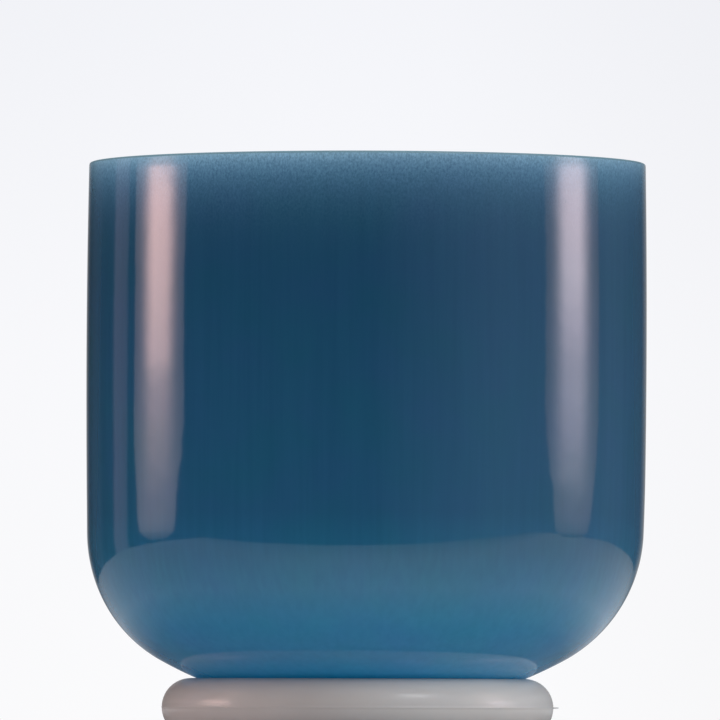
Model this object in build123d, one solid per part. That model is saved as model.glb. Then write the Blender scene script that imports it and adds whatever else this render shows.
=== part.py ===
from build123d import *
import os
from math import asin, atan2, cos, degrees, radians, sin, sqrt

# A crystal singing bowl that stands loose on a moulded rubber support ring.
# Millimetres. +Z is up, and the origin is on the axis, at the underside of the ring.

# Bowl. Its outside is a dome, a round corner and a wall that swells slightly, all tangent arcs.
BOWL_RADIUS = 101.6            # at the widest level of the wall
BOWL_HEIGHT = 199.3            # from the lowest point of the dome to the rim
WIDEST_LEVEL = 132.8           # above the lowest point of the dome
DOME_RADIUS = 152.6            # its centre is on the axis
CORNER_RADIUS = 53.6
WALL_ARC_RADIUS = 3700.0
WALL_THICKNESS = 4.0
RIM_EDGE_RADIUS = 1.0          # both edges of the ground rim

# Support ring. Its section is round, with a narrow flat foot and a seat pressed to the dome's shape.
RING_SECTION_RADIUS = 10.5
RING_CENTRELINE_RADIUS = 60.1
FOOT_DEPTH = 0.15              # how much of the round section the foot cuts away
SEAT_DEPTH = 0.7               # how far the bowl's weight presses it into the rubber
SEAT_GAP = 0.1                 # from the seat to the bowl that stands on it

# Moulding flash: a thin ridge round the middle of the ring, outside and inside, and a torn tab.
FLASH_THICKNESS = 0.6
FLASH_REACH = 0.3
TAB_REACH = 2.4                # beyond the section, towards +X
TAB_WIDTH = 3.0
TAB_TIP_RADIUS = 1.0
TAB_ROOT = 1.0                 # how far the tab runs into the ring

# Arc centres, as (radius, height) with the bowl standing on the ring.
RING_MIDDLE = RING_SECTION_RADIUS - FOOT_DEPTH
TOUCHING_DISTANCE = DOME_RADIUS + RING_SECTION_RADIUS
TOUCHING_RISE = sqrt(TOUCHING_DISTANCE**2 - RING_CENTRELINE_RADIUS**2)
DOME_CENTRE = Vector(0, RING_MIDDLE + TOUCHING_RISE - SEAT_DEPTH)
BOWL_BASE = DOME_CENTRE.Y - DOME_RADIUS
WALL_CENTRE = Vector(BOWL_RADIUS - WALL_ARC_RADIUS, BOWL_BASE + WIDEST_LEVEL)


def corner_centre():
    """Centre of the corner's arc, which touches the dome's arc and the wall's arc."""
    to_dome = DOME_RADIUS - CORNER_RADIUS
    to_wall = WALL_ARC_RADIUS - CORNER_RADIUS
    span = DOME_CENTRE - WALL_CENTRE
    along = (to_wall**2 - to_dome**2 + span.length**2) / (2 * span.length)
    aside = sqrt(to_wall**2 - along**2)
    direction = span.normalized()
    return WALL_CENTRE + direction * along + Vector(direction.Y, -direction.X) * aside


def angle_from_down(centre_from, centre_to):
    """Angle in degrees, outwards from straight down, of the line between two arc centres."""
    offset = centre_to - centre_from
    return degrees(atan2(offset.X, -offset.Y))


def arc_about(centre, radius, start, end):
    """An arc in the XZ plane, from start to end in degrees outwards from straight down."""
    turns = [radians(angle) for angle in (start, (start + end) / 2, end)]
    points = [(centre.X + radius * sin(turn), 0, centre.Y - radius * cos(turn)) for turn in turns]
    return ThreePointArc(*points)


def bowl_skin(inset):
    """The dome, corner and wall arcs of the bowl, inset from its outside."""
    corner = corner_centre()
    dome_end = angle_from_down(DOME_CENTRE, corner)
    corner_end = angle_from_down(WALL_CENTRE, corner)
    rim_rise = BOWL_HEIGHT - WIDEST_LEVEL
    wall_end = 90 + degrees(asin(rim_rise / (WALL_ARC_RADIUS - inset)))
    return [
        arc_about(DOME_CENTRE, DOME_RADIUS - inset, 0, dome_end),
        arc_about(corner, CORNER_RADIUS - inset, dome_end, corner_end),
        arc_about(WALL_CENTRE, WALL_ARC_RADIUS - inset, corner_end, wall_end),
    ]


def make_singing_bowl():
    """A revolved shell of even thickness with rounded rim edges."""
    outside = bowl_skin(0)
    inside = bowl_skin(WALL_THICKNESS)
    along_axis = Line(outside[0] @ 0, inside[0] @ 0)
    across_rim = Line(outside[2] @ 1, inside[2] @ 1)
    section = make_face([*outside, across_rim, *inside, along_axis])
    rim_edges = section.vertices().sort_by(Axis.Z)[-2:]
    section = fillet(rim_edges, RIM_EDGE_RADIUS)
    return revolve(section, Axis.Z, 360)


def make_flash_tab():
    """The torn tab of flash, a flat tongue with rounded corners on the +X side."""
    length = TAB_ROOT + TAB_REACH
    middle = RING_CENTRELINE_RADIUS + RING_SECTION_RADIUS + TAB_REACH - length / 2
    tongue = Box(length, TAB_WIDTH, FLASH_THICKNESS)
    tip_edges = tongue.edges().filter_by(Axis.Z).sort_by(Axis.X)[-2:]
    return Pos(middle, 0, RING_MIDDLE) * fillet(tip_edges, TAB_TIP_RADIUS)


def make_support_ring():
    """A round-section ring, flat at its foot and hollowed where the bowl sits, with its moulding flash."""
    disc = Circle(RING_SECTION_RADIUS)
    ridge = Rectangle(2 * (RING_SECTION_RADIUS + FLASH_REACH), FLASH_THICKNESS)
    below_foot = Pos(0, -RING_SECTION_RADIUS - RING_MIDDLE) * Rectangle(
        2 * RING_SECTION_RADIUS, 2 * RING_SECTION_RADIUS)
    section = Pos(RING_CENTRELINE_RADIUS, RING_MIDDLE) * (disc + ridge - below_foot)
    seat = Pos(DOME_CENTRE.X, DOME_CENTRE.Y) * Circle(DOME_RADIUS + SEAT_GAP)
    section = Plane.XZ * (section - seat)
    return revolve(section, Axis.Z, 360) + make_flash_tab()


os.makedirs("parts", exist_ok=True)
export_step(make_singing_bowl(), "parts/singing_bowl.step")
export_step(make_support_ring(), "parts/support_ring.step")
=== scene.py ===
from math import asin, atan2, cos, degrees, pi, radians, sin, sqrt, tan

import bpy
from mathutils import Matrix, Vector


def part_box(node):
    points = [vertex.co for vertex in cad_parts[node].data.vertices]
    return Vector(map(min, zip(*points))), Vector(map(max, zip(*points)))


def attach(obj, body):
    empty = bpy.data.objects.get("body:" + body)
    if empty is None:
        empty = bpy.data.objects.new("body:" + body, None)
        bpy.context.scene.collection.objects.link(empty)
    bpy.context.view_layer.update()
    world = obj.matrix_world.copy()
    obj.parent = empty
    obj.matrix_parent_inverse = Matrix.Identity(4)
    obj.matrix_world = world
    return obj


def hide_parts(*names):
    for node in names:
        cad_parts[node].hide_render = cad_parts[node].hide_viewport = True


# A deep blue crystal singing bowl standing on a milky rubber ring. Metres, in the CAD frame.

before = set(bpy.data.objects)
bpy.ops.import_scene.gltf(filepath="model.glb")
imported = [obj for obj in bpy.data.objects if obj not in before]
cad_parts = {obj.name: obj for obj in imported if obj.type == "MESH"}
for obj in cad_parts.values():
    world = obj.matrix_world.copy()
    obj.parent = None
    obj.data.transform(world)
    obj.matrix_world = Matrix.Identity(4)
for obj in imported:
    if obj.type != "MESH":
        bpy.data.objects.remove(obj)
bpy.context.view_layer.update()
BOWL_LOW, BOWL_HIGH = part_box("singing_bowl")
TAB_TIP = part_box("support_ring")[1].x

# The outline's curves, as the CAD source has them, apart from the last one.
BOWL_RADIUS = 0.1016
BOWL_BASE = BOWL_LOW.z
RIM_LEVEL = BOWL_HIGH.z
WIDEST_LEVEL = BOWL_BASE + 0.1328
DOME_RADIUS = 0.1526
CORNER_RADIUS = 0.0536
WALL_ARC_RADIUS = 3.7
WALL_THICKNESS = 0.004
RIM_EDGE_RADIUS = 0.001
RING_SECTION_RADIUS = 0.0105
RING_MIDDLE = 0.01035
SEAT_GAP = 0.0001
FLASH_THICKNESS = 0.0006
FLASH_RIDGE_REACH = 0.0001     # finer than the CAD ring's
RING_CENTRELINE_RADIUS = 0.0606  # 0.5 mm more than the CAD ring's

BOWL_SEGMENTS = 288
RING_SEGMENTS = 320

# How far the pieces stand out of true: along X, and for the last one outwards.
BOWL_LEAN = -0.00055           # from the rim down to the floor
UNDERSIDE_SHIFT = -0.0024      # at the lowest point, beyond the lean
UNDERSIDE_TOP = 0.095          # the level where the underside starts to shift
RING_SHIFT = -0.0031
WALL_SWELL = 0.00017           # above the underside


# ---------------------------------------------------------------- shader helpers

class Nodes:
    """A node tree with short calls for adding nodes and linking them."""

    def __init__(self, tree):
        self.tree = tree
        tree.nodes.clear()

    def add(self, kind, inputs=None, **settings):
        """A new node. inputs maps a socket's name or number to a value or to another socket."""
        node = self.tree.nodes.new(kind)
        for name, value in settings.items():
            setattr(node, name, value)
        for name, value in (inputs or {}).items():
            self.put(node.inputs[name], value)
        return node

    def put(self, socket, value):
        if isinstance(value, bpy.types.NodeSocket):
            self.tree.links.new(value, socket)
        else:
            socket.default_value = value

    def maths(self, operation, first, second=0.0, clamp=False):
        return self.add("ShaderNodeMath", {0: first, 1: second},
                        operation=operation, use_clamp=clamp).outputs[0]

    def blend(self, share, first, second, kind="MIX"):
        """Colour first, mixed with colour second by share."""
        node = self.add("ShaderNodeMix", data_type="RGBA", blend_type=kind, clamp_factor=True)
        self.put(node.inputs["Factor"], share)
        self.put([s for s in node.inputs if s.name == "A" and s.type == "RGBA"][0], first)
        self.put([s for s in node.inputs if s.name == "B" and s.type == "RGBA"][0], second)
        return [s for s in node.outputs if s.type == "RGBA"][0]

    def tinted(self, colour, share, low, high):
        """Colour multiplied by a tint, which share picks between low and high."""
        tint = self.blend(share, rgba(low), rgba(high))
        return self.blend(1.0, colour, tint, "MULTIPLY")

    def stretched(self, place, squeeze):
        """Places squeezed along Z, so that a texture on them is drawn out vertically."""
        return self.add("ShaderNodeVectorMath", {0: place, 1: (1, 1, squeeze)},
                        operation="MULTIPLY").outputs[0]

    def noise(self, place, scale, detail=2.0, roughness=0.5):
        return self.add("ShaderNodeTexNoise", {"Vector": place, "Scale": scale, "Detail": detail,
                                               "Roughness": roughness}).outputs["Fac"]

    def remap(self, value, low, high, to_low=0.0, to_high=1.0, smooth=False):
        node = self.add("ShaderNodeMapRange",
                        {"Value": value, "From Min": low, "From Max": high,
                         "To Min": to_low, "To Max": to_high}, clamp=True)
        if smooth:
            node.interpolation_type = "SMOOTHSTEP"
        return node.outputs["Result"]

    def ramp(self, value, stops, curve="LINEAR"):
        """A colour ramp from (place, colour) stops."""
        node = self.add("ShaderNodeValToRGB", {"Fac": value})
        node.color_ramp.interpolation = curve
        elements = node.color_ramp.elements
        while len(elements) > 1:
            elements.remove(elements[-1])
        elements[0].position = stops[0][0]
        elements[0].color = (*stops[0][1], 1.0)
        for place, colour in stops[1:]:
            elements.new(place).color = (*colour, 1.0)
        return node.outputs["Color"]


def new_material(name):
    """A material with an empty node tree, and that tree's helper."""
    material = bpy.data.materials.new(name)
    material.use_nodes = True
    return material, Nodes(material.node_tree)


def rgba(colour):
    return (*colour, 1.0)


# ---------------------------------------------------------------- materials

DEEP_BLUE = (0.0125, 0.068, 0.138)
# Painted light: the paler blue lower on the wall, where the white table lights it from below.
BLUE_LIT_FROM_BELOW = (0.0185, 0.107, 0.208)
# Painted light: a pale glow near the rim where light comes through the glass, and frosted grain lit up at its
# very edge.
PAINTED_RIM_GLOW = (0.169, 0.343, 0.495)
RIM_FROST_AND_GLOW = (0.15, 0.15, 0.093)
# Painted light: colour that the outside gains towards the base, a glow where the base is lit from below, as
# (height, colour) stops.
PAINTED_BASE_GLOW = ((0.026, (0.007, 0.130, 0.237)), (0.033, (0.020, 0.130, 0.230)), (0.042, (0.010, 0.118, 0.190)),
             (0.055, (0.003, 0.065, 0.102)), (0.065, (0.001, 0.028, 0.044)), (0.080, (0.0, 0.0, 0.0)))
# Painted light: an emitted glow standing in for light that comes through the glass just above the ring.
PAINTED_FOOT_GLOW = (0.0, 0.037, 0.078)
PAINTED_RIM_GLOW_DEPTH = 0.0087
RIM_FROST_AND_GLOW_DEPTH = 0.0028


def object_place(nodes):
    return nodes.add("ShaderNodeTexCoord").outputs["Object"]


def parts_of(nodes, place):
    return nodes.add("ShaderNodeSeparateXYZ", {0: place}).outputs


def rim_share(nodes, height, depth):
    """1 at the rim, falling away below it over about the given depth."""
    below = nodes.maths("SUBTRACT", height, RIM_LEVEL)
    return nodes.maths("EXPONENT", nodes.maths("DIVIDE", below, depth), clamp=True)


def glaze_bump(nodes, place):
    """The polished glass isn't quite smooth: slow waves, fine drawn lines and a few tiny pits."""
    waves = nodes.maths("MULTIPLY", nodes.noise(place, 90.0, 1.0), 0.000036)
    lines = nodes.maths("MULTIPLY", nodes.noise(nodes.stretched(place, 0.02), 520.0, 1.0), 0.0000005)
    cells = nodes.add("ShaderNodeTexVoronoi", {"Vector": place, "Scale": 90.0}).outputs["Distance"]
    pits = nodes.maths("MULTIPLY", nodes.remap(cells, 0.0, 0.05, 1.0, 0.0, smooth=True), -0.000016)
    height = nodes.maths("ADD", nodes.maths("ADD", waves, lines), pits)
    return nodes.add("ShaderNodeBump", {"Strength": 1.0, "Distance": 1.0, "Height": height}).outputs["Normal"]


def glaze_material():
    """The bowl's outside: deep blue under gloss, with painted light: paler lower down and on the right, and a
    painted glow where light comes through at the rim and base.
    """
    material, nodes = new_material("bowl_glaze")
    place = object_place(nodes)
    parts = parts_of(nodes, place)
    height = parts["Z"]
    # Painted light: the blue turns paler lower down, where the white table lights the wall from below.
    colour = nodes.blend(nodes.remap(height, 0.185, 0.06), rgba(DEEP_BLUE), rgba(BLUE_LIT_FROM_BELOW))
    # Painted light: the base glow, paler on the right where more light falls and dimmer on the left.
    low = nodes.ramp(nodes.remap(height, 0.0, 0.1), [(level * 10, glow) for level, glow in PAINTED_BASE_GLOW])
    low = nodes.tinted(low, nodes.remap(parts["X"], -0.06, 0.06), (0.84, 0.84, 0.88), (1.16, 1.14, 1.12))
    colour = nodes.blend(1.0, colour, low, "ADD")
    blotches = nodes.remap(nodes.noise(place, 40.0, 3.0), 0.3, 0.7)
    colour = nodes.tinted(colour, blotches, (0.90, 1.03, 0.97), (1.10, 0.97, 1.03))
    streaks = nodes.remap(nodes.noise(nodes.stretched(place, 0.03), 420.0, 2.0), 0.3, 0.7)
    colour = nodes.tinted(colour, streaks, (0.92, 0.95, 0.96), (1.08, 1.05, 1.04))
    grains = nodes.noise(nodes.stretched(place, 0.65), 1500.0, 3.0, 0.7)
    grains = nodes.remap(grains, 0.25, 0.75, 0.5, 1.5)
    patches = nodes.remap(nodes.noise(place, 9.0, 1.0), 0.3, 0.7, 0.85, 1.15)
    grains = nodes.maths("MULTIPLY", grains, patches)
    # Painted light: the rim glow and the lit frosted grain, broken up by the grain and patches.
    for glow, depth in ((PAINTED_RIM_GLOW, PAINTED_RIM_GLOW_DEPTH), (RIM_FROST_AND_GLOW, RIM_FROST_AND_GLOW_DEPTH)):
        share = nodes.maths("MULTIPLY", rim_share(nodes, height, depth), grains)
        colour = nodes.blend(share, colour, rgba(glow), "ADD")
    # Painted light: the emitted glow at the foot.
    foot = nodes.blend(nodes.remap(height, 0.031, 0.020, smooth=True), rgba((0, 0, 0)), rgba(PAINTED_FOOT_GLOW))
    shader = nodes.add("ShaderNodeBsdfPrincipled",
                       {"Base Color": colour, "Roughness": 0.07, "IOR": 1.5,
                        "Normal": glaze_bump(nodes, place),
                        "Emission Color": foot, "Emission Strength": 1.0})
    nodes.add("ShaderNodeOutputMaterial", {"Surface": shader.outputs[0]})
    return material


def frosted_material():
    """The bowl's inside: the same blue, matt and finely grained."""
    material, nodes = new_material("bowl_frosted_inside")
    place = object_place(nodes)
    height = parts_of(nodes, place)["Z"]
    grains = nodes.noise(place, 1200.0, 4.0, 0.7)
    clouds = nodes.noise(place, 22.0, 3.0)
    inside_blue = (0.03, 0.125, 0.215)
    colour = nodes.blend(nodes.remap(clouds, 0.3, 0.7),
                         rgba([c * 0.92 for c in inside_blue]), rgba([c * 1.08 for c in inside_blue]))
    colour = nodes.blend(nodes.remap(grains, 0.35, 0.75), colour, rgba((0.06, 0.18, 0.28)))
    # Painted light: the same glow near the rim as on the outside.
    colour = nodes.blend(rim_share(nodes, height, PAINTED_RIM_GLOW_DEPTH), colour, rgba(PAINTED_RIM_GLOW), "ADD")
    bump = nodes.add("ShaderNodeBump", {"Strength": 0.35, "Distance": 0.0001,
                                        "Height": grains}).outputs["Normal"]
    shader = nodes.add("ShaderNodeBsdfPrincipled",
                       {"Base Color": colour, "Roughness": 0.55, "IOR": 1.46, "Normal": bump})
    nodes.add("ShaderNodeOutputMaterial", {"Surface": shader.outputs[0]})
    return material


def ground_rim_material():
    """The ground rim: satin glass, paler than the wall."""
    material, nodes = new_material("bowl_ground_rim")
    place = object_place(nodes)
    grains = nodes.noise(place, 2200.0, 3.0, 0.6)
    colour = nodes.blend(nodes.remap(grains, 0.3, 0.7),
                         rgba((0.13, 0.26, 0.33)), rgba((0.22, 0.37, 0.44)))
    bump = nodes.add("ShaderNodeBump", {"Strength": 0.25, "Distance": 0.00006,
                                        "Height": grains}).outputs["Normal"]
    shader = nodes.add("ShaderNodeBsdfPrincipled",
                       {"Base Color": colour, "Roughness": 0.38, "IOR": 1.46, "Normal": bump})
    nodes.add("ShaderNodeOutputMaterial", {"Surface": shader.outputs[0]})
    return material


def rubber_material():
    """Milky silicone rubber: warm white, satin, with a faint cloudiness and fine moulded grain."""
    material, nodes = new_material("ring_silicone")
    place = object_place(nodes)
    clouds = nodes.noise(place, 35.0, 1.0)
    colour = nodes.blend(nodes.remap(clouds, 0.1, 0.9),
                         rgba((0.49, 0.47, 0.455)), rgba((0.56, 0.54, 0.525)))
    grains = nodes.noise(place, 900.0, 3.0, 0.6)
    bump = nodes.add("ShaderNodeBump", {"Strength": 0.12, "Distance": 0.00008,
                                        "Height": grains}).outputs["Normal"]
    shader = nodes.add("ShaderNodeBsdfPrincipled",
                       {"Base Color": colour, "Roughness": 0.24, "IOR": 1.41, "Normal": bump,
                        "Subsurface Weight": 0.6, "Subsurface Radius": (0.008, 0.007, 0.0065),
                        "Subsurface Scale": 1.0})
    nodes.add("ShaderNodeOutputMaterial", {"Surface": shader.outputs[0]})
    return material


# ---------------------------------------------------------------- meshes

def arc(centre, radius, start, end, steps):
    """Points (radius, height) on an arc, from start to end in degrees outwards from straight down."""
    turns = [radians(start + (end - start) * k / steps) for k in range(steps + 1)]
    return [(centre[0] + radius * sin(t), centre[1] - radius * cos(t)) for t in turns]


def lathe(name, outline, segments, materials, shift, ripple=None, closed=False):
    """A mesh turned round the Z axis. outline is a list of (radius, height, material number).
    A point with no radius is a pole, and closed joins the last point to the first. shift gives
    how far along X a level stands out of true, and ripple how far a point stands out of round."""
    vertices, rows = [], []
    turns = [2 * pi * k / segments for k in range(segments)]
    for radius, height, _ in outline:
        if radius < 1e-7:
            rows.append([len(vertices)] * segments)
            vertices.append((shift(height), 0, height))
            continue
        rows.append(list(range(len(vertices), len(vertices) + segments)))
        for turn in turns:
            out = ripple(turn, radius, height) if ripple else 0.0
            vertices.append((shift(height) + (radius + out) * cos(turn), (radius + out) * sin(turn), height))
    faces, numbers = [], []
    count = len(outline)
    for k in range(count if closed else count - 1):
        here, there = rows[k], rows[(k + 1) % count]
        for a in range(segments):
            b = (a + 1) % segments
            corners = [here[a], here[b], there[b], there[a]]
            corners = [c for i, c in enumerate(corners) if c not in corners[:i]]
            faces.append(corners)
            numbers.append(outline[k][2])
    mesh = bpy.data.meshes.new(name)
    mesh.from_pydata(vertices, [], faces)
    for material in materials:
        mesh.materials.append(material)
    mesh.polygons.foreach_set("material_index", numbers)
    mesh.polygons.foreach_set("use_smooth", [True] * len(faces))
    mesh.update()
    piece = bpy.data.objects.new(name, mesh)
    bpy.context.scene.collection.objects.link(piece)
    return piece


def bowl_centres():
    """Centres (radius, height) of the dome, corner and wall arcs."""
    dome = Vector((0, BOWL_BASE + DOME_RADIUS))
    wall = Vector((BOWL_RADIUS - WALL_ARC_RADIUS, WIDEST_LEVEL))
    to_dome, to_wall = DOME_RADIUS - CORNER_RADIUS, WALL_ARC_RADIUS - CORNER_RADIUS
    span = (dome - wall).length
    along = (to_wall**2 - to_dome**2 + span**2) / (2 * span)
    aside = sqrt(to_wall**2 - along**2)
    direction = (dome - wall).normalized()
    corner = wall + direction * along + Vector((direction.y, -direction.x)) * aside
    return dome, corner, wall


def angle_from_down(start, end):
    return degrees(atan2(end.x - start.x, start.y - end.y))


OUTSIDE, RIM, INSIDE = 0, 1, 2


def bowl_outline():
    """The bowl's section from the pole outside, over the rim, to the pole inside."""
    dome, corner, wall = bowl_centres()
    dome_end = angle_from_down(dome, corner)
    corner_end = angle_from_down(wall, corner)

    def skin(inset):
        rise = RIM_LEVEL - RIM_EDGE_RADIUS - wall.y
        wall_end = 90 + degrees(asin(rise / (WALL_ARC_RADIUS - inset)))
        points = arc(dome, DOME_RADIUS - inset, 0, dome_end, 30)
        points += arc(corner, CORNER_RADIUS - inset, dome_end, corner_end, 30)[1:]
        points += arc(wall, WALL_ARC_RADIUS - inset, corner_end, wall_end, 34)[1:]
        return points

    outside, inside = skin(0.0), skin(WALL_THICKNESS)
    edge = RIM_EDGE_RADIUS
    outer_edge = (outside[-1][0] - edge, outside[-1][1])
    inner_edge = (inside[-1][0] + edge, inside[-1][1])
    rim = arc(outer_edge, edge, 90, 180, 6)[1:] + arc(inner_edge, edge, 180, 270, 6)[:-1]
    return ([(r, z, OUTSIDE) for r, z in outside] + [(r, z, RIM) for r, z in rim]
            + [(r, z, INSIDE) for r, z in reversed(inside)])


def bowl_shift(height):
    """How far along X the glass is at a level: its lean, and its underside to one side."""
    low = max(0.0, 1 - height / UNDERSIDE_TOP)
    return BOWL_LEAN * (1 - height / RIM_LEVEL) + UNDERSIDE_SHIFT * low**2


def ring_shift(height):
    """The ring is off to one side by the same amount at every level."""
    return RING_SHIFT


def glass_ripple(turn, radius, height):
    """The slight unevenness of spun glass, out from the ideal surface."""
    fade = min(1.0, radius / 0.06) ** 2
    waves = (0.5 * cos(2 * turn + 0.6 + 9 * height) + 0.3 * cos(3 * turn - 1.1 + 21 * height)
             + 0.14 * cos(7 * turn + 2.3 - 33 * height) + 0.10 * cos(11 * turn + 47 * height)
             + 0.05 * cos(17 * turn - 71 * height + 0.4))
    swell = WALL_SWELL * min(1.0, max(0.0, (height - 0.06) / 0.03))
    return 0.00010 * fade * waves + swell


def ring_outline():
    """The ring's round section with its flat foot, and the flash ridge outside and inside."""
    points = []
    steps = 64
    half = FLASH_THICKNESS / 2
    for k in range(steps):
        turn = 2 * pi * k / steps
        height = max(-RING_MIDDLE, RING_SECTION_RADIUS * sin(turn))
        points.append((RING_CENTRELINE_RADIUS + RING_SECTION_RADIUS * cos(turn), RING_MIDDLE + height, 0))
    for side, place in ((1, 0), (-1, steps // 2)):
        low, high = RING_SECTION_RADIUS - 0.00002, RING_SECTION_RADIUS + FLASH_RIDGE_REACH
        reach = [low, high - 0.00004, high, high - 0.00004, low]
        rise = [-half, -half * 0.6, 0, half * 0.6, half]
        ridge = [(RING_CENTRELINE_RADIUS + side * r, RING_MIDDLE + side * h, 0) for r, h in zip(reach, rise)]
        index = next(i for i, p in enumerate(points)
                     if abs(p[1] - RING_MIDDLE) < 1e-9 and (p[0] - RING_CENTRELINE_RADIUS) * side > 0)
        points[index:index + 1] = ridge
    return points


def press_seat(ring):
    """Hollows the ring's top to the shape of the dome that stands on it."""
    reach = DOME_RADIUS + SEAT_GAP
    for vertex in ring.data.vertices:
        centre = Vector((bowl_shift(vertex.co.z), 0, BOWL_BASE + DOME_RADIUS))
        outward = vertex.co - centre
        if outward.length < reach:
            vertex.co = centre + outward.normalized() * reach
    ring.data.update()


def flash_tab(material):
    """The torn tab of flash on the +X side: a thin tongue with an uneven tip."""
    root = RING_CENTRELINE_RADIUS + RING_SECTION_RADIUS - 0.001 + RING_SHIFT
    tip = TAB_TIP + RING_SHIFT
    half = FLASH_THICKNESS * 0.65
    edge = [(root, -0.0016), (root + 0.0018, -0.0015), (tip - 0.0008, -0.0012), (tip - 0.0002, -0.0006),
            (tip, 0.0001), (tip - 0.0003, 0.0007), (tip - 0.0011, 0.0011), (root + 0.0016, 0.0015),
            (root, 0.0017)]
    taper = [1 - 0.55 * (x - root) / (tip - root) for x, y in edge]
    vertices = [(x, y, RING_MIDDLE - half * t) for (x, y), t in zip(edge, taper)]
    vertices += [(x, y, RING_MIDDLE + half * t) for (x, y), t in zip(edge, taper)]
    n = len(edge)
    faces = [list(range(n))[::-1], list(range(n, 2 * n))]
    faces += [[k, (k + 1) % n, n + (k + 1) % n, n + k] for k in range(n)]
    mesh = bpy.data.meshes.new("ring_flash_tab")
    mesh.from_pydata(vertices, [], faces)
    mesh.materials.append(material)
    piece = bpy.data.objects.new("ring_flash_tab", mesh)
    bpy.context.scene.collection.objects.link(piece)
    bevel = piece.modifiers.new("soft_edges", "BEVEL")
    bevel.width = 0.0001
    bevel.segments = 2
    return piece


bowl = lathe("singing_bowl_glass", bowl_outline(), BOWL_SEGMENTS,
             [glaze_material(), ground_rim_material(), frosted_material()], bowl_shift, glass_ripple)
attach(bowl, "bowl")
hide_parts("singing_bowl")

rubber = rubber_material()
ring = lathe("support_ring_rubber", ring_outline(), RING_SEGMENTS, [rubber], ring_shift, closed=True)
press_seat(ring)
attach(ring, "ring")
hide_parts("support_ring")
tab = flash_tab(rubber)
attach(tab, "ring")


# ---------------------------------------------------------------- stage and light

def hide_from(thing, *rays):
    """Makes an object invisible to the named kinds of ray."""
    for ray in rays:
        setattr(thing, "visible_" + ray, False)


def flat_piece(name, corners, material):
    mesh = bpy.data.meshes.new(name)
    mesh.from_pydata(corners, [], [list(range(len(corners)))])
    mesh.materials.append(material)
    thing = bpy.data.objects.new(name, mesh)
    bpy.context.scene.collection.objects.link(thing)
    return thing


def floor_material():
    """Plain pale paper that fades out to the background with distance."""
    material, nodes = new_material("floor_paper")
    paper = nodes.add("ShaderNodeBsdfDiffuse", {"Color": rgba((0.83, 0.835, 0.85))}).outputs[0]
    clear = nodes.add("ShaderNodeBsdfTransparent").outputs[0]
    share = nodes.remap(distance_of(nodes), 1.4, 2.9, smooth=True)
    surface = nodes.add("ShaderNodeMixShader", {0: share, 1: paper, 2: clear}).outputs[0]
    nodes.add("ShaderNodeOutputMaterial", {"Surface": surface})
    return material


def distance_of(nodes):
    """How far a point is from the bowl's axis at floor level."""
    return nodes.add("ShaderNodeVectorMath", {0: object_place(nodes)}, operation="LENGTH").outputs["Value"]


def azimuth_of(nodes, place):
    """0 to 1 for azimuths from -180 to 180 degrees, from straight ahead (-Y) towards +X."""
    parts = parts_of(nodes, place)
    azimuth = nodes.maths("ARCTAN2", parts["X"], nodes.maths("MULTIPLY", parts["Y"], -1.0))
    return nodes.remap(azimuth, -pi, pi)


def at(azimuth):
    """The place of an azimuth in degrees on a ramp over azimuth_of."""
    return (azimuth + 180) / 360


def grey(value):
    return (value, value, value)


TABLE_BRIGHT_AZIMUTH = 70      # degrees, from straight ahead (-Y) towards +X
TABLE_LIGHT = 0.745            # the mean round the bowl
TABLE_LIGHT_SWING = 0.18       # how much the bright side gains and the other side loses


def table_material():
    """The white table top as the glaze mirrors it, its light and shade painted into its glow: a painted
    shadow under the bowl, brightest on the right.
    """
    material, nodes = new_material("table_paper")
    place = object_place(nodes)
    parts = parts_of(nodes, place)
    aside = nodes.maths("ADD", parts["X"], 0.004)
    ahead = nodes.maths("MULTIPLY", nodes.maths("MINIMUM", parts["Y"], 0.0), 1.12)
    behind = nodes.maths("MAXIMUM", parts["Y"], 0.0)
    outward = nodes.maths("SQRT", nodes.maths("ADD", nodes.maths("MULTIPLY", aside, aside),
                                              nodes.maths("MULTIPLY", ahead, ahead)))
    outward = nodes.maths("ADD", outward, nodes.maths("MULTIPLY", behind, 0.1))
    # Painted shadow of the bowl, deepest close under it.
    shadow = nodes.ramp(outward, [(w, grey(v)) for w, v in (
        (0.060, 0.10), (0.075, 0.19), (0.100, 0.24), (0.118, 0.49), (0.160, 1.0))])
    bright_side = (sin(radians(TABLE_BRIGHT_AZIMUTH)), -cos(radians(TABLE_BRIGHT_AZIMUTH)), 0)
    direction = nodes.add("ShaderNodeVectorMath", {0: place}, operation="NORMALIZE").outputs[0]
    facing = nodes.add("ShaderNodeVectorMath", {0: direction, 1: bright_side},
                       operation="DOT_PRODUCT").outputs["Value"]
    around = nodes.maths("ADD", nodes.maths("MULTIPLY", facing, TABLE_LIGHT_SWING), TABLE_LIGHT)
    # Painted light: dimmer towards the table's front edge and far behind the bowl.
    front = nodes.ramp(nodes.remap(parts["Y"], -0.5, 0.9), [((y + 0.5) / 1.4, grey(v)) for y, v in (
        (-0.46, 0.44), (-0.22, 1.0), (0.0, 1.0), (0.6, 0.36), (0.9, 0.25))])
    colour = nodes.blend(1.0, nodes.blend(1.0, shadow, around, "MULTIPLY"), front, "MULTIPLY")
    # A slight blue cast in the painted light.
    colour = nodes.blend(1.0, colour, rgba((1.0, 1.03, 1.08)), "MULTIPLY")
    light = nodes.add("ShaderNodeEmission", {"Color": colour, "Strength": 1.0}).outputs[0]
    nodes.add("ShaderNodeOutputMaterial", {"Surface": light})
    return material


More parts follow.
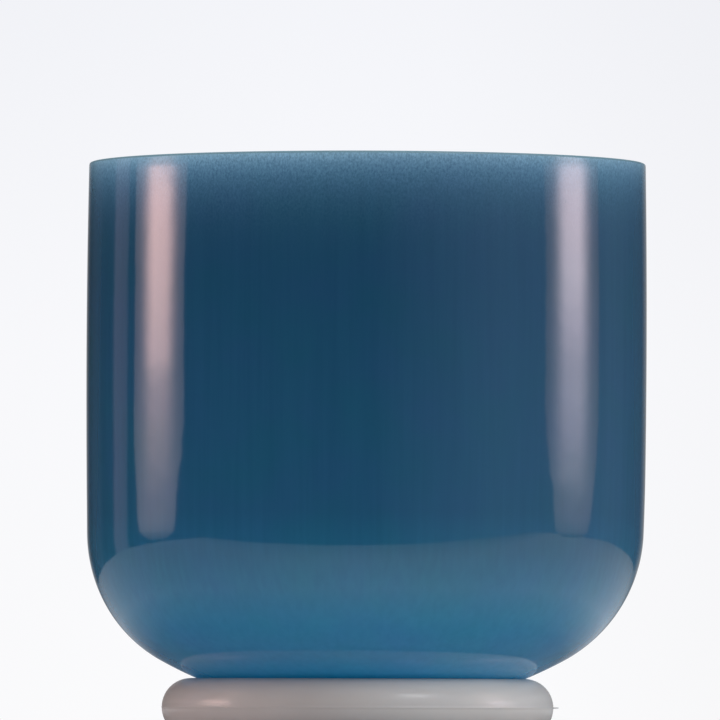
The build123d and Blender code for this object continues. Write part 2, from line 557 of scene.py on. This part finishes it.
def make_floor():
    """A large floor for the camera, and the white table top that the glaze mirrors."""
    reach = 3.0
    corners = [(reach * cos(pi * k / 32), reach * sin(pi * k / 32), 0) for k in range(64)]
    floor = flat_piece("floor", corners, floor_material())
    hide_from(floor, "glossy", "shadow")
    outline = [(-0.80, -0.35), (0.10, -0.38), (0.40, -0.427), (1.20, -0.474), (1.22, 0.0), (0.88, 0.33),
               (0.50, 0.46), (0.34, 0.62), (0.32, 1.6), (-0.29, 1.6), (-0.28, 0.60), (-0.33, 0.40),
               (-0.42, 0.30), (-0.60, 0.19), (-0.77, -0.05)]
    table = flat_piece("table_top", [(x, y, 0.0001) for x, y in outline], table_material())
    hide_from(table, "camera", "diffuse", "shadow", "transmission")


SOFTBOX_DISTANCE = 0.9
SOFTBOX_HEIGHT = 0.9
SOFTBOX_STRENGTH = 10.0
# Across a softbox, as shares of its width from the front: where its bright core rises and falls,
# and the middle of the broad dim spill round it.
CORE_RISE = (-0.01, 0.375)
CORE_FALL = (0.54, 0.97)
CORE_SHARPNESS = 2.0           # the power that the rise and fall are raised to
SPILL_MIDDLE = 0.45
SPILL_DROP = 2.0               # how much a share squared away from the middle takes off
# The panel's outline: (share of its width from the front, height). Its foot is narrower.
SOFTBOX_OUTLINE = ((0.0, SOFTBOX_HEIGHT), (0.0, 0.125), (0.14, 0.08), (0.2, 0.045), (0.35, 0.0),
                   (0.65, 0.0), (0.83, 0.045), (0.92, 0.08), (1.0, 0.12), (1.0, SOFTBOX_HEIGHT))


def softbox_material(name, core_levels, spill_levels):
    """A glowing panel: a bright core over a broad spill. The levels are (height, colour) stops."""
    material, nodes = new_material(name)
    parts = parts_of(nodes, nodes.add("ShaderNodeTexCoord").outputs["UV"])
    rise = nodes.remap(parts["X"], *CORE_RISE, smooth=True)
    fall = nodes.remap(parts["X"], *reversed(CORE_FALL), smooth=True)
    off_middle = nodes.maths("SUBTRACT", parts["X"], SPILL_MIDDLE)
    drop = nodes.maths("MULTIPLY", nodes.maths("MULTIPLY", off_middle, off_middle), SPILL_DROP)
    core = nodes.maths("POWER", nodes.maths("MULTIPLY", rise, fall), CORE_SHARPNESS)
    spill = nodes.maths("SUBTRACT", 1.0, drop)
    glows = []
    for levels, across in ((core_levels, core), (spill_levels, spill)):
        upward = nodes.ramp(parts["Y"], [(h / SOFTBOX_HEIGHT, c) for h, c in levels])
        glows.append(nodes.blend(1.0, upward, across, "MULTIPLY"))
    colour = nodes.blend(1.0, glows[0], glows[1], "ADD")
    light = nodes.add("ShaderNodeEmission", {"Color": colour, "Strength": SOFTBOX_STRENGTH}).outputs[0]
    nodes.add("ShaderNodeOutputMaterial", {"Surface": light})
    return material


def make_softbox(name, azimuth, spread, core_levels, spill_levels):
    """A tall panel beside the bowl. azimuth is from straight ahead (-Y) towards +X, in degrees,
    and spread is the angle each side of it that the panel covers."""
    turn = radians(azimuth)
    middle = Vector((sin(turn), -cos(turn), 0)) * SOFTBOX_DISTANCE
    backward = Vector((cos(turn), sin(turn), 0)) * (1 if azimuth > 0 else -1)
    half = SOFTBOX_DISTANCE * tan(radians(spread))
    corners = [middle + backward * half * (2 * share - 1) + Vector((0, 0, height))
               for share, height in SOFTBOX_OUTLINE]
    panel = flat_piece(name, corners, softbox_material(name + "_glow", core_levels, spill_levels))
    layer = panel.data.uv_layers.new(name="panel")
    for loop, (share, height) in zip(layer.data, SOFTBOX_OUTLINE):
        loop.uv = (share, height / SOFTBOX_HEIGHT)
    hide_from(panel, "camera", "diffuse", "shadow", "transmission")


def make_ceiling_panel():
    """A small soft light up in front, on the right, for its gloss on the ring."""
    turn, rise = radians(40), radians(45)
    away = Vector((sin(turn) * cos(rise), -cos(turn) * cos(rise), sin(rise)))
    across = Vector((cos(turn), sin(turn), 0))
    up = away.cross(across).normalized()
    material, nodes = new_material("ceiling_panel_glow")
    light = nodes.add("ShaderNodeEmission", {"Color": rgba((0.97, 0.98, 1.0)), "Strength": 9.0}).outputs[0]
    nodes.add("ShaderNodeOutputMaterial", {"Surface": light})
    corners = [away * 1.3 + across * 0.15 * a + up * 0.2 * b for a, b in ((-1, -1), (1, -1), (1, 1), (-1, 1))]
    panel = flat_piece("ceiling_panel", corners, material)
    hide_from(panel, "camera", "diffuse", "shadow", "transmission")


def make_world():
    """A pale backdrop for the camera, a dim room for the glaze to mirror, soft fill for the rest."""
    world = bpy.data.worlds.new("studio")
    world.use_nodes = True
    world.cycles.sampling_method = "NONE"
    bpy.context.scene.world = world
    nodes = Nodes(world.node_tree)
    direction = nodes.add("ShaderNodeTexCoord").outputs["Generated"]
    parts = parts_of(nodes, direction)
    backdrop = nodes.ramp(nodes.remap(parts["Z"], 0.0, 0.25),
                          [(0.0, (0.975, 0.975, 0.988)), (0.12, (0.955, 0.958, 0.984)),
                           (0.25, (0.899, 0.908, 0.948)), (1.0, (0.84, 0.86, 0.91))])
    sides = nodes.ramp(nodes.remap(parts["X"], -0.031, 0.031),
                       [(0.0, grey(0.98)), (0.4, grey(1.0)), (0.6, grey(1.0)), (1.0, grey(0.96))])
    backdrop = nodes.blend(1.0, backdrop, sides, "MULTIPLY")
    turn = azimuth_of(nodes, direction)
    back, dark, dim = grey(0.6), (0.035, 0.032, 0.015), (0.004, 0.005, 0.006)
    strip, faint = (0.37, 0.29, 0.37), grey(0.06)
    room = nodes.ramp(turn, [
        (at(-180), back), (at(-173), grey(0.3)), (at(-163), grey(0.05)), (at(-157), dark),
        (at(-152), faint), (at(-143), faint), (at(-141), dark), (at(-129), dark), (at(-126.5), strip),
        (at(-117), strip), (at(-115.5), dark), (at(-60), dim), (at(0), dim),
        (at(55), (0.34, 0.45, 0.74)), (at(118), (0.26, 0.40, 0.58)), (at(138), (0.11, 0.18, 0.265)),
        (at(157), (0.06, 0.09, 0.13)), (at(173), grey(0.35)), (at(180), back)])
    fill = rgba((0.45, 0.45, 0.46))
    rays = nodes.add("ShaderNodeLightPath").outputs
    colour = nodes.blend(rays["Is Glossy Ray"], fill, room)
    colour = nodes.blend(rays["Is Camera Ray"], colour, backdrop)
    light = nodes.add("ShaderNodeBackground", {"Color": colour, "Strength": 1.0}).outputs[0]
    nodes.add("ShaderNodeOutputWorld", {"Surface": light})


def make_area_light(name, place, aim, size, power, colour=(1, 1, 1), only_on=None):
    """A square soft light that isn't seen itself. only_on names the only objects that it lights."""
    data = bpy.data.lights.new(name, "AREA")
    data.size = size
    data.energy = power
    data.color = colour
    light = bpy.data.objects.new(name, data)
    light.matrix_world = (Matrix.Translation(place)
                          @ (Vector(aim) - Vector(place)).to_track_quat("-Z", "Y").to_matrix().to_4x4())
    bpy.context.scene.collection.objects.link(light)
    hide_from(light, "camera", "glossy")
    if only_on:
        receivers = bpy.data.collections.new(name + "_receivers")
        for thing in only_on:
            receivers.objects.link(thing)
        light.light_linking.receiver_collection = receivers


def make_lights():
    """A broad light overhead, and three lower ones on the ring alone: neutral right and front, warm left."""
    make_area_light("top_light", (0, 0, 2.0), (0, 0, 0), 2.4, 30.0)
    make_area_light("ring_light_right", (0.82, -0.30, 0.38), (0, 0, RING_MIDDLE), 0.35, 3.5,
                    (1.0, 0.98, 0.97), [ring, tab])
    make_area_light("ring_light_front", (0.42, -0.78, 0.48), (0, 0, RING_MIDDLE), 0.35, 1.0,
                    (1.0, 1.0, 1.0), [ring, tab])
    make_area_light("ring_light_left", (-0.85, -0.28, 0.16), (0, 0, RING_MIDDLE), 0.35, 1.5,
                    (1.0, 0.50, 0.38), [ring, tab])


make_floor()
make_softbox("softbox_left", -91.1, 14.7, [
    (0.080, (0.0, 0.0, 0.0)), (0.152, (0.31, 0.21, 0.20)), (0.158, (0.58, 0.38, 0.35)),
    (0.200, (0.75, 0.475, 0.435)), (0.250, (0.90, 0.56, 0.505)), (0.290, (0.23, 0.15, 0.13)),
    (0.40, (0.15, 0.10, 0.085))], [
    (0.0, (0.03, 0.03, 0.03)), (0.05, (0.10, 0.085, 0.085)), (0.075, (0.17, 0.135, 0.135)),
    (0.26, (0.195, 0.143, 0.14)), (0.34, (0.0, 0.0, 0.0))])
make_softbox("softbox_right", 90.0, 15.6, [
    (0.072, (0.0, 0.0, 0.0)), (0.136, (0.28, 0.245, 0.28)), (0.150, (0.27, 0.23, 0.265)),
    (0.200, (0.62, 0.515, 0.57)), (0.245, (0.75, 0.595, 0.63)), (0.30, (0.37, 0.31, 0.32)),
    (0.40, (0.31, 0.275, 0.275))], [
    (0.0, (0.03, 0.03, 0.03)), (0.075, (0.16, 0.15, 0.175)), (0.26, (0.155, 0.14, 0.16)),
    (0.34, (0.0, 0.0, 0.0))])
make_ceiling_panel()
make_world()
make_lights()


# ---------------------------------------------------------------- camera

CAMERA_DISTANCE = 4.225
CAMERA_LENS = 581.6            # millimetres, on a 36 mm sensor
CAMERA_ROLL = 0.17             # degrees; the picture leans this much clockwise


def make_camera():
    """Level with the middle of the ring, far away through a long lens, tilted up to the bowl."""
    data = bpy.data.cameras.new("camera")
    data.sensor_width = 36.0
    data.lens = CAMERA_LENS
    data.clip_end = 100.0
    camera = bpy.data.objects.new("camera", data)
    place = Vector((0, -CAMERA_DISTANCE, RING_MIDDLE))
    aim = Vector((-0.00257, 0, RING_MIDDLE + 0.1262))
    look = (aim - place).to_track_quat("-Z", "Y").to_matrix().to_4x4()
    camera.matrix_world = Matrix.Translation(place) @ look @ Matrix.Rotation(radians(CAMERA_ROLL), 4, "Z")
    bpy.context.scene.collection.objects.link(camera)
    bpy.context.scene.camera = camera


make_camera()
bpy.context.scene.view_settings.view_transform = "Standard"
